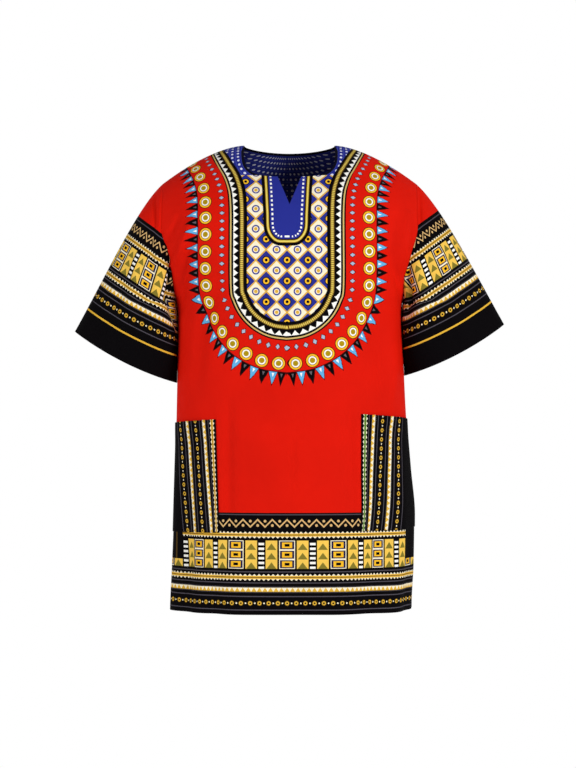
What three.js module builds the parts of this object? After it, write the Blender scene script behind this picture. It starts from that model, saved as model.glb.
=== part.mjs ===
// A hip-length pullover shirt with wide elbow sleeves, held open as it is when worn.
// It is cut as six pieces: front, back, two sleeves and two patch pockets. The front and back meet
// at the shoulder seams and side seams, the sleeves are sewn round the armholes, and each pocket
// lies on the front, caught in the side seam. The neck edge has a short slit at the front.
//
// Millimetres. +X is the wearer's left, -Y the front, +Z up. The origin is in the middle of the
// neck hole, level with the neck ends of the shoulder seams. The side and shoulder seams lie in
// the plane y = 0.
import * as THREE from "three";

// ---- Driving sizes ----
const CLOTH = 1.2; // thickness of the cloth wall
const SEAM_GAP = 0.3; // clear space between two pieces at a seam

const HEM_Z = -776;
const PIT_Z = -262; // underarm point, where side seam, armhole and sleeve seam meet
const PIT_X = 190;
const PIT_FLARE = 5; // how far the side swells out towards the underarm
const PIT_FLARE_LENGTH = 20;
const SHOULDER_X = 212; // outer end of the shoulder seam
const SHOULDER_Z = -64;
const NECK_X = 76; // inner end of the shoulder seam
const ROUND = 2.3; // exponent of the trunk's rounded sections
const SHOULDER_DROP = 170; // height over which the shoulders round down to the chest and back
const SHOULDER_POWER = 0.62; // below 1 makes the top of the shoulder rounder
const RIDGE_POWER = 1.6; // how the shoulder seam falls away from the neck
const LEAN = 5; // how far the wearer's left side is drawn up, and the right side down

// Trunk sections: half widths on each side, and how far the front and back stand from the seams.
const TRUNK = [
  { z: HEM_Z, left: 204, right: 197, front: 127, back: 124 },
  { z: -700, left: 208, right: 195, front: 124, back: 121 },
  { z: -620, left: 209, right: 193, front: 121, back: 117 },
  { z: -540, left: 202, right: 191, front: 119, back: 113 },
  { z: -450, left: 195, right: 189, front: 119, back: 109 },
  { z: -350, left: 190, right: 187, front: 123, back: 108 },
  { z: PIT_Z, left: PIT_X - PIT_FLARE, right: PIT_X - PIT_FLARE, front: 126, back: 109 },
];
const CHEST = [
  { z: PIT_Z, front: 126, back: 109 },
  { z: -150, front: 127, back: 108 },
  { z: 30, front: 125, back: 104 },
];

// Neck edge, seen from the front.
const FRONT_NECK_DEPTH = 59.5;
const FRONT_NECK_SQUARE = 4; // exponent of the squared front neck curve
const SLIT_HALF_WIDTH = 19.5;
const SLIT_BOTTOM_Z = -106.5;
const BACK_NECK_DEPTH = 8;
const BACK_NECK_RISE = 28; // how far the cloth climbs towards the nape

// Soft vertical folds of the trunk. at and width are shares of a panel's half girth, depth is in
// millimetres at the hem (below 0 is a trough), top is the height where the fold dies out, and
// lean is how far it drifts sideways on its way up.
const FRONT_FOLDS = [
  { at: -0.86, width: 0.1, depth: 5, top: -430, lean: 0.05 },
  { at: -0.66, width: 0.09, depth: -6, top: -400, lean: 0.1 },
  { at: -0.4, width: 0.07, depth: -6, top: -520, lean: -0.02 },
  { at: -0.26, width: 0.1, depth: 4, top: -560, lean: 0.04 },
  { at: 0.03, width: 0.12, depth: -3, top: -480, lean: -0.05 },
  { at: 0.22, width: 0.1, depth: 3, top: -600, lean: 0 },
  { at: 0.41, width: 0.08, depth: -6, top: -500, lean: 0.08 },
  { at: 0.6, width: 0.11, depth: 5, top: -330, lean: 0.05 },
  { at: 0.8, width: 0.1, depth: -5, top: -380, lean: 0.04 },
];
const BACK_FOLDS = [
  { at: -0.8, width: 0.1, depth: -6, top: -420, lean: -0.05 },
  { at: -0.57, width: 0.11, depth: 7, top: -300, lean: 0.1 },
  { at: -0.33, width: 0.1, depth: -8, top: -330, lean: 0.08 },
  { at: -0.08, width: 0.12, depth: 6, top: -420, lean: 0 },
  { at: 0.17, width: 0.1, depth: -7, top: -360, lean: -0.06 },
  { at: 0.42, width: 0.11, depth: 7, top: -280, lean: -0.08 },
  { at: 0.66, width: 0.09, depth: -7, top: -400, lean: -0.05 },
  { at: 0.88, width: 0.09, depth: 4, top: -460, lean: 0 },
];

// Sleeves: the cuff's outer corner and the height of its inner one, in the wearer's right sleeve.
const CUFF_OUT = { x: 360, z: -312 };
const CUFF_IN_Z = -398;
const CUFF_HALF_DEPTH = 57;
const CUFF_DROOP = 9; // how far the front and back of the cuff hang below its corners
const BODY_CLEARANCE = 1.2; // least space between a sleeve's underside and the trunk
// lift raises the cuff, and tuck leads the underarm line in towards the trunk (below 0).
const SLEEVES = [
  { name: "sleeve_left", side: 1, lift: 12, tuck: 0 },
  { name: "sleeve_right", side: -1, lift: 0, tuck: -3 },
];
// Folds along a sleeve. at and width are shares of half a turn from the top (0) to the underarm
// (1), front above 0 and back below; depth in millimetres, fading out at the share end of length.
const SLEEVE_FOLDS = [
  { at: 0.7, width: 0.08, depth: -9, end: 0.8 },
  { at: 0.56, width: 0.1, depth: 4, end: 0.9 },
  { at: -0.7, width: 0.09, depth: -9, end: 0.9 },
  { at: -0.5, width: 0.11, depth: 4, end: 1 },
  { at: -0.3, width: 0.1, depth: -4, end: 1.1 },
];

// Patch pockets reach to the side seam. Each one's inner edge leans across the column of the front
// that it ends on; low and high are where it stands in that column at the bottom and the top.
const POCKET_GAP = 0.37;
const POCKET_TOP_Z = -456;
const POCKET_BOTTOM_Z = -642;
const POCKETS = [
  { name: "pocket_left", side: 1, low: 0.08, high: 0.8 },
  { name: "pocket_right", side: -1, low: 0.52, high: 0.9 },
];

// Grid of each piece: rows from the hem to the pockets, up them, on to the underarm, and up the
// armhole; and columns from a panel's middle to its side, with those that end on the neck edge,
// those that end on the slit, and those inside a pocket.
const ROWS = { hem: 3, pocket: 4, waist: 4, armhole: 12 };
const COLUMNS = { half: 15, neck: 8, slit: 1, pocket: 10 };
const SLEEVE_ROWS = 10;

const { clamp, lerp, smoothstep } = THREE.MathUtils; // smoothstep(value, min, max)
const shares = (count) => Array.from({ length: count + 1 }, (_, i) => i / count);

// ---- Shape of the trunk ----

// A smooth curve through a table's rows, with no overshoot between them.
function curveThrough(table, key) {
  const zs = table.map((row) => row.z);
  const ys = table.map((row) => row[key]);
  const slope = zs.slice(1).map((z, i) => (ys[i + 1] - ys[i]) / (z - zs[i]));
  const bend = ys.map((_, i) => {
    const [before, after] = [slope[i - 1], slope[i]];
    return before * after > 0 ? (2 * before * after) / (before + after) : 0;
  });
  return (z) => {
    let i = 0;
    while (i < zs.length - 2 && z > zs[i + 1]) i += 1;
    const span = zs[i + 1] - zs[i];
    const t = clamp((z - zs[i]) / span, 0, 1);
    const a = 2 * t ** 3 - 3 * t ** 2 + 1;
    const b = t ** 3 - 2 * t ** 2 + t;
    const c = t ** 3 - t ** 2;
    return a * ys[i] + (1 - a) * ys[i + 1] + span * (b * bend[i] + c * bend[i + 1]);
  };
}

const leftWidth = curveThrough(TRUNK, "left");
const rightWidth = curveThrough(TRUNK, "right");

// One face of the trunk: sign is its side in Y, rise how far it climbs at the middle of the neck.
function makeFace(key, sign, rise, topEdge, folds) {
  const below = curveThrough(TRUNK, key);
  const above = curveThrough(CHEST, key);
  return { sign, rise, topEdge, folds, depth: (z) => (z > PIT_Z ? above : below)(z) };
}

// The armhole's edge, seen from the front, at a share of the way from underarm to shoulder.
const armholeX = (share) => PIT_X + (SHOULDER_X - PIT_X) * smoothstep(share, 0.2, 0.62);
// How far round the section that edge lies: 1 is the side seam.
const armholeReach = (share) => 1 - 0.2 * (1 - (1 - clamp(share, 0, 1)) ** 1.3);

function halfWidth(side, z) {
  if (z <= PIT_Z) {
    const flare = PIT_FLARE * Math.exp((z - PIT_Z) / PIT_FLARE_LENGTH);
    return (side > 0 ? leftWidth : rightWidth)(z) + flare;
  }
  const share = Math.min(1, (z - PIT_Z) / (SHOULDER_Z - PIT_Z));
  return armholeX(share) / armholeReach(share);
}

// The height of the shoulder line, which the cloth falls away from to front and back.
function ridgeHeight(x, rise) {
  const out = Math.abs(x);
  if (out < NECK_X) return rise * (1 - (out / NECK_X) ** 2) ** 2;
  return SHOULDER_Z * ((out - NECK_X) / (SHOULDER_X - NECK_X)) ** RIDGE_POWER;
}

function shoulderEdge(column) {
  const x = lerp(NECK_X, SHOULDER_X, (column - COLUMNS.neck) / (COLUMNS.half - COLUMNS.neck));
  return { x, z: ridgeHeight(x, 0) };
}

// The front neck from the slit's corner (0) to the shoulder seam (1).
function frontNeck(share) {
  const power = 2 / FRONT_NECK_SQUARE;
  const slitCorner = Math.asin((SLIT_HALF_WIDTH / NECK_X) ** (1 / power));
  const turn = lerp(slitCorner, Math.PI / 2, share);
  const drop = Math.max(0, Math.cos(turn)) ** power;
  return { x: NECK_X * Math.sin(turn) ** power, z: -FRONT_NECK_DEPTH * drop };
}

// The top edge of the front at a column: up the slit, round the neck, then out along the shoulder.
function frontTopEdge(column) {
  if (column <= COLUMNS.slit) {
    const share = column / COLUMNS.slit;
    return { x: share * SLIT_HALF_WIDTH, z: lerp(SLIT_BOTTOM_Z, frontNeck(0).z, share) };
  }
  if (column > COLUMNS.neck) return shoulderEdge(column);
  return frontNeck((column - COLUMNS.slit) / (COLUMNS.neck - COLUMNS.slit));
}

function backTopEdge(column) {
  if (column > COLUMNS.neck) return shoulderEdge(column);
  const x = Math.sin((column / COLUMNS.neck) * (Math.PI / 2));
  return { x: x * NECK_X, z: -BACK_NECK_DEPTH * Math.sqrt(1 - x ** 2) };
}

const FRONT = makeFace("front", -1, 0, frontTopEdge, FRONT_FOLDS);
const BACK = makeFace("back", 1, BACK_NECK_RISE, backTopEdge, BACK_FOLDS);

// The cloth's own depth at a place seen from the front.
function trunkY(face, x, z) {
  const across = clamp(Math.abs(x) / halfWidth(x, z), 0, 1);
  const section = face.depth(z) * (1 - across ** ROUND) ** (1 / ROUND);
  const fall = clamp((ridgeHeight(x, face.rise) - z) / SHOULDER_DROP, 0, 1);
  return face.sign * section * (1 - (1 - fall) ** 2) ** SHOULDER_POWER;
}

// A place on a panel. u runs from -1 to 1 across it, v from -1 at the hem through 0 at the
// underarm to 1 at the top edge.
function panelPlace(face, u, v) {
  const side = Math.sign(u) || 1;
  const round = Math.sin((Math.abs(u) * Math.PI) / 2) ** (2 / ROUND);
  if (v <= 0) {
    const z = lerp(PIT_Z, HEM_Z, -v) - 4 * LEAN * u * v * (1 + v);
    const x = side * round * halfWidth(side, z);
    return new THREE.Vector3(x, trunkY(face, x, z), z);
  }
  const edge = face.topEdge(Math.abs(u) * COLUMNS.half);
  const x = side * armholeX(v) * lerp(round, edge.x / SHOULDER_X, v);
  const z = lerp(PIT_Z, edge.z, v);
  return new THREE.Vector3(x, trunkY(face, x, z), z);
}

// How far the folds push the cloth out at a place on a panel.
function foldDepth(face, u, z) {
  const sideSeam = 1 - smoothstep(Math.abs(u), 0.93, 1); // folds end there
  return face.folds.reduce((sum, fold) => {
    const height = clamp((z - HEM_Z) / (fold.top - HEM_Z), 0, 1);
    const off = (u - fold.at - fold.lean * height) / fold.width;
    return sum + sideSeam * fold.depth * (1 - height) ** 1.3 * Math.exp(-(off ** 2));
  }, 0);
}

// ---- Walls ----

// Normals of a grid of places, by its own neighbours. Closed grids wrap round their columns.
function gridNormals(grid, closed) {
  const [rows, columns] = [grid.length, grid[0].length];
  const beside = (j, d) => (closed ? (j + d + columns) % columns : clamp(j + d, 0, columns - 1));
  return grid.map((row, i) =>
    row.map((_, j) => {
      const across = row[beside(j, 1)].clone().sub(row[beside(j, -1)]);
      const up = grid[Math.min(i + 1, rows - 1)][j].clone().sub(grid[Math.max(i - 1, 0)][j]);
      return across.cross(up).normalize();
    }),
  );
}

// A closed wall of the cloth's thickness round a grid of places on its middle.
function wall({ grid, normals, closed = false }) {
  const [rows, columns] = [grid.length, grid[0].length];
  const layer = rows * columns;
  const position = [1, -1].flatMap((face) =>
    grid.flatMap((row, i) =>
      row.flatMap((place, j) =>
        place.clone().addScaledVector(normals[i][j], (face * CLOTH) / 2).toArray(),
      ),
    ),
  );
  const index = [];
  const quad = (a, b, c, d) => index.push(a, b, c, a, c, d);
  const spans = closed ? columns : columns - 1;
  for (let i = 0; i < rows - 1; i += 1) {
    for (let j = 0; j < spans; j += 1) {
      const [a, b] = [i * columns + j, i * columns + ((j + 1) % columns)];
      quad(a, b, b + columns, a + columns);
      quad(layer + a, layer + a + columns, layer + b + columns, layer + b); // same diagonal
    }
  }
  const top = (rows - 1) * columns;
  for (let j = 0; j < spans; j += 1) {
    const next = (j + 1) % columns;
    quad(layer + j, layer + next, next, j);
    quad(top + j, top + next, layer + top + next, layer + top + j);
  }
  const end = columns - 1;
  for (let i = 0; i < rows - 1 && !closed; i += 1) {
    const [a, b] = [i * columns, (i + 1) * columns];
    quad(layer + b, layer + a, a, b);
    quad(layer + a + end, layer + b + end, b + end, a + end);
  }
  const geometry = new THREE.BufferGeometry();
  geometry.setAttribute("position", new THREE.Float32BufferAttribute(position, 3));
  geometry.setIndex(index);
  geometry.computeVertexNormals();
  return geometry;
}

// ---- Front and back ----

const PIT_ROW = ROWS.hem + ROWS.pocket + ROWS.waist;
const TOP_ROW = PIT_ROW + ROWS.armhole;

const rowBetween = (from, to, count) => shares(count).map((t) => lerp(from, to, t)).slice(1);
const LOWER_HEIGHTS = [
  HEM_Z,
  ...rowBetween(HEM_Z, POCKET_BOTTOM_Z, ROWS.hem),
  ...rowBetween(POCKET_BOTTOM_Z, POCKET_TOP_Z, ROWS.pocket),
  ...rowBetween(POCKET_TOP_Z, PIT_Z, ROWS.waist),
];
const PANEL_ROWS = [
  ...LOWER_HEIGHTS.map((z) => (z - PIT_Z) / (PIT_Z - HEM_Z)),
  ...shares(ROWS.armhole).map((t) => (1 - Math.cos(t * Math.PI)) / 2).slice(1),
];

function makePanel(face) {
  const across = shares(2 * COLUMNS.half).map((t) => face.sign * (1 - 2 * t)); // anticlockwise
  const plain = PANEL_ROWS.map((v) => across.map((u) => panelPlace(face, u, v)));
  const out = gridNormals(plain, false);
  const grid = plain.map((row, i) =>
    row.map((place, j) => place.addScaledVector(out[i][j], foldDepth(face, across[j], place.z))),
  );
  const normals = gridNormals(grid, false);
  grid.forEach((row, i) =>
    row.forEach((place, j) => {
      const column = Math.abs(j - COLUMNS.half);
      const onSideSeam = column === COLUMNS.half && i <= PIT_ROW;
      const onShoulderSeam = i === TOP_ROW && column >= COLUMNS.neck;
      if (!onSideSeam && !onShoulderSeam) return;
      place.y = (face.sign * SEAM_GAP) / 2;
      normals[i][j].setY(0).normalize();
    }),
  );
  return { grid, normals };
}

const front = makePanel(FRONT);
const back = makePanel(BACK);

// ---- Sleeves ----

// The armhole's edge, from the underarm up the back and down the front.
function armholeRim(side) {
  const places = [];
  for (let k = -ROWS.armhole; k < ROWS.armhole; k += 1) {
    const panel = k < 0 ? back : front;
    const column = side * (k < 0 ? -1 : 1) > 0 ? 2 * COLUMNS.half : 0;
    const row = TOP_ROW - Math.abs(k);
    const place = panel.grid[row][column].clone();
    if (k === 0 || k === -ROWS.armhole) place.y = 0;
    places.push({ place, normal: panel.normals[row][column], angle: (Math.PI * k) / ROWS.armhole });
  }
  return places.map((spot, k) => {
    const [before, after] = [places.at(k - 1).place, places[(k + 1) % places.length].place];
    const along = after.clone().sub(before).normalize();
    const away = spot.normal.clone().cross(along).multiplyScalar(side).normalize();
    return { ...spot, away };
  });
}

// Starts a sleeve column at the armhole. The sleeve leaves the seam towards `leave`, which can be
// straight on or folded back over the trunk, and its wall stays the seam's gap clear of the panel's.
function startSleeve({ place, normal, away }, leave) {
  const turn = Math.atan2(leave.dot(normal), leave.dot(away));
  const half = (Math.sign(turn) * CLOTH) / 2;
  const out = normal.clone().multiplyScalar(Math.cos(turn)).addScaledVector(away, -Math.sin(turn));
  const gap = away.clone().multiplyScalar(Math.cos(turn / 2)).addScaledVector(normal, Math.sin(turn / 2));
  const start = place.clone().addScaledVector(normal, half).addScaledVector(out, -half);
  return { start: start.addScaledVector(gap, SEAM_GAP), out };
}

function sleeveFold(angle, along) {
  return SLEEVE_FOLDS.reduce((sum, fold) => {
    const off = (angle / Math.PI - fold.at) / fold.width;
    const fade = smoothstep(along, 0, 0.2) * (1 - smoothstep(along, 0.3 * fold.end, fold.end));
    return sum + fold.depth * fade * Math.exp(-(off ** 2));
  }, 0);
}

function makeSleeve({ side, lift, tuck }) {
  const cuffInX = halfWidth(side, CUFF_IN_Z + lift) + CLOTH + BODY_CLEARANCE;
  const columns = armholeRim(side).map((spot) => {
    const top = (1 + Math.cos(spot.angle)) / 2; // 1 on the top line, 0 on the underarm
    const forward = Math.sin(spot.angle);
    const leave = new THREE.Vector3(side * lerp(tuck, 42, top), 0, lerp(-45, -36, top));
    const { start, out } = startSleeve(spot, leave);
    const cuff = new THREE.Vector3(
      side * lerp(cuffInX, CUFF_OUT.x, top),
      -CUFF_HALF_DEPTH * forward,
      lerp(CUFF_IN_Z, CUFF_OUT.z, top) - CUFF_DROOP * forward ** 2 + lift,
    );
    const arrive = new THREE.Vector3(side * lerp(1, 49, top), 0, lerp(-45, -87, top));
    const path = new THREE.CubicBezierCurve3(
      start,
      start.clone().add(leave),
      cuff.clone().sub(arrive),
      cuff,
    );
    return { angle: spot.angle, out, path };
  });
  if (side > 0) columns.reverse(); // so that both grids face outwards
  const along = shares(SLEEVE_ROWS).reverse(); // the first row is the cuff
  const plain = along.map((t) => columns.map((column) => column.path.getPoint(t)));
  const outward = gridNormals(plain, true);
  const grid = plain.map((row, i) =>
    row.map((place, j) => place.addScaledVector(outward[i][j], sleeveFold(columns[j].angle, along[i]))),
  );
  const normals = gridNormals(grid, true);
  normals[SLEEVE_ROWS] = columns.map((column) => column.out);
  return { grid, normals, closed: true };
}

// ---- Pockets ----

// A pocket follows the front's own places, moved out by the cloth's thickness and the gap.
function makePocket({ side, low, high }) {
  const pick = (rows) =>
    rows
      .slice(ROWS.hem, ROWS.hem + ROWS.pocket + 1)
      .map((row) => (side > 0 ? row.slice(-COLUMNS.pocket - 1) : row.slice(0, COLUMNS.pocket + 1)));
  const normals = pick(front.normals);
  const grid = pick(front.grid).map((row, i) =>
    row.map((place, j) => place.clone().addScaledVector(normals[i][j], CLOTH + POCKET_GAP)),
  );
  const [edge, next] = side > 0 ? [0, 1] : [COLUMNS.pocket, COLUMNS.pocket - 1];
  grid.forEach((row, i) => {
    const share = lerp(low, high, i / ROWS.pocket);
    row[edge].lerp(row[next], share);
    normals[i][edge] = normals[i][edge].clone().lerp(normals[i][next], share).normalize();
  });
  return { grid, normals };
}

// ---- The shirt ----

const red = new THREE.MeshStandardMaterial({ color: 0xd5200f, roughness: 0.75, metalness: 0 });
const border = new THREE.MeshStandardMaterial({ color: 0x2a2218, roughness: 0.75, metalness: 0 });

const shirt = new THREE.Group();
function add(name, piece, material) {
  const mesh = new THREE.Mesh(wall(piece), material);
  mesh.name = name;
  shirt.add(mesh);
}

add("front", front, red);
add("back", back, red);
SLEEVES.forEach((sleeve) => add(sleeve.name, makeSleeve(sleeve), border));
POCKETS.forEach((pocket) => add(pocket.name, makePocket(pocket), border));

export default shirt;
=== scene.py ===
"""A hip-length pullover shirt in a bordered wax print, shown as it is when worn, with no wearer.

The shirt is cotton, cut as a front, a back, two sleeves and two patch pockets. Lengths are in
millimetres while a piece is shaped, and its mesh is in metres. +X is the wearer's left, -Y the
front and +Z up.
"""

import bpy
import numpy as np
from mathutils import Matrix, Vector


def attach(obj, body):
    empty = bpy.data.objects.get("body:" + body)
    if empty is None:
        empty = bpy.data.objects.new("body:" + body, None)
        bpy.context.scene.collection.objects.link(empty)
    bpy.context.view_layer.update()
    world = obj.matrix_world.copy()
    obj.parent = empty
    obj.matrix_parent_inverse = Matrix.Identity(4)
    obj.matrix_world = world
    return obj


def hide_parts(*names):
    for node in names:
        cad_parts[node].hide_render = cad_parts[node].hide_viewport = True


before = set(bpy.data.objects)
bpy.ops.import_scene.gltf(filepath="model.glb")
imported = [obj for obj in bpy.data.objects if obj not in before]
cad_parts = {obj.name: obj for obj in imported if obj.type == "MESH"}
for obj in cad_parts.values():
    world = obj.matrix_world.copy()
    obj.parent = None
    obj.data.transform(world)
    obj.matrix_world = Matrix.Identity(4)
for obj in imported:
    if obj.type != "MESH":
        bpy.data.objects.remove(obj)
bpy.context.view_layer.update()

# ---- Front ----
# One panel from hem to shoulder seams, with a round neck and a short slit. It is cut wide and
# hangs from the shoulders, so that soft folds run up from the hem. The body's rounded sections
# are the solids' own, laid out here on a fine grid.

MM = 0.001
CLOTH = 0.9

HEM_Z = -776
PIT_Z = -262
PIT_X = 190
PIT_FLARE = 5
PIT_FLARE_LENGTH = 20
SHOULDER_X = 212
SHOULDER_Z = -64
NECK_X = 76
ROUND = 2.3
SHOULDER_DROP = 170
SHOULDER_POWER = 0.62
RIDGE_POWER = 1.6
LEAN = 5
FRONT_NECK_DEPTH = 59.5
FRONT_NECK_SQUARE = 4
SLIT_HALF_WIDTH = 19.5
SLIT_BOTTOM_Z = -106.5
BACK_NECK_DEPTH = 8
BACK_NECK_RISE = 28
# The cloth's own grain near the sides: it stays upright past one place, and small ripples take up
# some of its width.
SIDE_GRAIN_X = 176
SIDE_EASE = 24

# Shares of a half panel's width whose columns end on the slit and on the neck edge.
SLIT_END = 1 / 15
NECK_END = 8 / 15

# Heights, half widths on the wearer's left and right, and depths of the front and back.
TRUNK = np.array(
    [
        (HEM_Z, 204, 197, 127, 124),
        (-700, 208, 195, 124, 121),
        (-620, 209, 193, 121, 117),
        (-540, 202, 191, 119, 113),
        (-450, 195, 189, 119, 109),
        (-350, 190, 187, 123, 108),
        (PIT_Z, PIT_X - PIT_FLARE, PIT_X - PIT_FLARE, 126, 109),
    ]
)
CHEST = np.array([(PIT_Z, 126, 109), (-150, 127, 108), (30, 125, 104)])

# Soft vertical folds: place and width as shares of a panel's half girth, depth at the hem, height
# where the fold dies out, and sideways drift on the way up.
FRONT_FOLDS = [
    (-0.86, 0.1, 5, -430, 0.05),
    (-0.66, 0.09, -6, -400, 0.1),
    (-0.4, 0.07, -6, -520, -0.02),
    (-0.26, 0.1, 4, -560, 0.04),
    (0.03, 0.12, -3, -480, -0.05),
    (0.22, 0.1, 3, -600, 0),
    (0.41, 0.08, -6, -500, 0.08),
    (0.6, 0.11, 5, -330, 0.05),
    (0.8, 0.1, -5, -380, 0.04),
]


def smoothstep(x, low, high):
    t = np.clip((x - low) / (high - low), 0, 1)
    return t * t * (3 - 2 * t)


def lerp(a, b, t):
    return a + (b - a) * t


def curve_through(zs, ys, z):
    """A smooth curve through points, with no overshoot between them, read at heights z."""
    slope = np.diff(ys) / np.diff(zs)
    bend = np.zeros(len(ys))
    product = slope[:-1] * slope[1:]
    rising = product > 0
    bend[1:-1][rising] = 2 * product[rising] / (slope[:-1] + slope[1:])[rising]
    i = np.clip(np.searchsorted(zs, z, side="left") - 1, 0, len(zs) - 2)
    span = zs[i + 1] - zs[i]
    t = np.clip((z - zs[i]) / span, 0, 1)
    a = 2 * t**3 - 3 * t**2 + 1
    b = t**3 - 2 * t**2 + t
    c = t**3 - t**2
    return a * ys[i] + (1 - a) * ys[i + 1] + span * (b * bend[i] + c * bend[i + 1])


def armhole_x(share):
    return PIT_X + (SHOULDER_X - PIT_X) * smoothstep(share, 0.2, 0.62)


def armhole_reach(share):
    return 1 - 0.2 * (1 - (1 - np.clip(share, 0, 1)) ** 1.3)


def half_width(side, z):
    low = np.where(
        side > 0,
        curve_through(TRUNK[:, 0], TRUNK[:, 1], z),
        curve_through(TRUNK[:, 0], TRUNK[:, 2], z),
    )
    flare = PIT_FLARE * np.exp(np.minimum(0, z - PIT_Z) / PIT_FLARE_LENGTH)
    share = np.clip((z - PIT_Z) / (SHOULDER_Z - PIT_Z), 0, 1)
    return np.where(z <= PIT_Z, low + flare, armhole_x(share) / armhole_reach(share))


def ridge_height(x, rise):
    out = np.abs(x)
    inner = rise * (1 - np.minimum(out / NECK_X, 1) ** 2) ** 2
    outer = SHOULDER_Z * (np.maximum(out - NECK_X, 0) / (SHOULDER_X - NECK_X)) ** RIDGE_POWER
    return np.where(out < NECK_X, inner, outer)


def shoulder_edge(column):
    x = lerp(NECK_X, SHOULDER_X, np.maximum(0, column - NECK_END) / (1 - NECK_END))
    return x, ridge_height(x, 0)


def front_top_edge(column):
    power = 2 / FRONT_NECK_SQUARE
    slit_corner = np.arcsin((SLIT_HALF_WIDTH / NECK_X) ** (1 / power))
    share = np.clip((column - SLIT_END) / (NECK_END - SLIT_END), 0, 1)
    turn = lerp(slit_corner, np.pi / 2, share)
    neck_x = NECK_X * np.sin(turn) ** power
    neck_z = -FRONT_NECK_DEPTH * np.maximum(0, np.cos(turn)) ** power
    slit = np.clip(column / SLIT_END, 0, 1)
    out_x, out_z = shoulder_edge(column)
    x = np.where(column <= SLIT_END, slit * neck_x, np.where(column <= NECK_END, neck_x, out_x))
    slit_z = lerp(SLIT_BOTTOM_Z, neck_z, slit)
    z = np.where(column <= SLIT_END, slit_z, np.where(column <= NECK_END, neck_z, out_z))
    return x, z


def back_top_edge(column):
    x = np.sin(np.clip(column / NECK_END, 0, 1) * np.pi / 2)
    out_x, out_z = shoulder_edge(column)
    neck_z = -BACK_NECK_DEPTH * np.sqrt(1 - x**2)
    on_neck = column <= NECK_END
    return np.where(on_neck, x * NECK_X, out_x), np.where(on_neck, neck_z, out_z)


class Face:
    """The front or back of the trunk: which way it faces, and how it rises, ends and folds."""

    def __init__(self, sign, rise, depth_column, top_edge, folds):
        self.sign = sign
        self.rise = rise
        self.top_edge = top_edge
        self.folds = folds
        self.column = depth_column

    def depth(self, z):
        low = curve_through(TRUNK[:, 0], TRUNK[:, 2 + self.column], z)
        high = curve_through(CHEST[:, 0], CHEST[:, self.column], z)
        return np.where(z > PIT_Z, high, low)

    def y(self, x, z):
        across = np.clip(np.abs(x) / half_width(x, z), 0, 1)
        section = self.depth(z) * (1 - across**ROUND) ** (1 / ROUND)
        fall = np.clip((ridge_height(x, self.rise) - z) / SHOULDER_DROP, 0, 1)
        return self.sign * section * (1 - (1 - fall) ** 2) ** SHOULDER_POWER

    def place(self, u, v):
        """Places on the panel. u is -1 to 1 across; v is -1 at the hem, 0 underarm, 1 at the top."""
        side = np.where(u < 0, -1, 1)
        bend = np.sin(np.abs(u) * np.pi / 2) ** (2 / ROUND)
        low_z = lerp(PIT_Z, HEM_Z, -np.minimum(v, 0)) - 4 * LEAN * u * v * (1 + v)
        edge_x, edge_z = self.top_edge(np.abs(u))
        share = np.maximum(v, 0)
        high_x = armhole_x(share) * lerp(bend, edge_x / SHOULDER_X, share)
        high_z = lerp(PIT_Z, edge_z, share)
        low = v <= 0
        z = np.where(low, low_z, high_z)
        x = side * np.where(low, bend * half_width(side, low_z), high_x)
        return np.stack([x, self.y(x, z), z], axis=-1)

    def fold_depth(self, u, z):
        total = np.zeros_like(u)
        for at, width, depth, top, lean in self.folds:
            height = np.clip((z - HEM_Z) / (top - HEM_Z), 0, 1)
            off = (u - at - lean * height) / width
            total += depth * (1 - height) ** 1.3 * np.exp(-(off**2))
        return total * (1 - smoothstep(np.abs(u), 0.93, 1))

    def length_up(self, x, low, z):
        """Length of cloth straight up from height low to z, at x."""
        t = np.linspace(0, 1, 33)
        zs = lerp(low, np.maximum(z, low)[..., None], t)
        ys = self.y(np.repeat(x[..., None], len(t), axis=-1), zs)
        return np.hypot(np.diff(zs), np.diff(ys)).sum(axis=-1)

    def flat(self, x, z):
        """Where a place lies on the flat cloth: across from the middle, and up from the hem."""
        t = np.linspace(0, 1, 25)
        xs = x[..., None] * t
        ys = self.y(xs, np.repeat(z[..., None], len(t), axis=-1))
        across = np.hypot(np.diff(xs), np.diff(ys)).sum(axis=-1)
        eased = 1 - smoothstep(z, PIT_Z - 70, PIT_Z + 30)
        across = np.sign(x) * (across + SIDE_EASE * eased * smoothstep(np.abs(x), 95, 185))
        x = np.clip(x, -SIDE_GRAIN_X, SIDE_GRAIN_X)
        up = self.length_up(x, HEM_Z, np.minimum(z, PIT_Z)) + self.length_up(x, PIT_Z, z)
        return across, up


FRONT = Face(-1, 0, 1, front_top_edge, FRONT_FOLDS)

# Creases, listed one by one: the line that each follows as seen from the front, its width and its
# depth (below 0 is a trough), fading out at both ends.
FRONT_CREASES = [
    ([(-150, -112), (-170, -158), (-190, -205), (-186, -255)], 8, 6),
    ([(-150, -135), (-166, -190), (-177, -240), (-180, -290)], 6, -5),
    ([(-180, -120), (-194, -150), (-206, -180)], 5, -4),
    ([(196, -112), (190, -165), (190, -222)], 9, 6),
    ([(172, -118), (167, -185), (178, -250)], 10, -6),
    ([(176, -206), (182, -236), (184, -276)], 5, -3),
    ([(-112, -215), (-142, -300), (-158, -430)], 14, -5),
    ([(140, -300), (150, -370), (146, -440)], 14, -4.5),
    ([(170, -290), (172, -380), (160, -470)], 10, 4),
    ([(96, -430), (100, -520), (104, -600)], 11, -4),
    ([(-100, -410), (-101, -520), (-97, -700)], 9, -4),
    ([(5, -470), (7, -530), (8, -600)], 3.5, -2),
    ([(-70, -462), (10, -476), (86, -466)], 12, -2),
    ([(-172, -640), (-168, -700), (-170, -760)], 9, -4),
]


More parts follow.
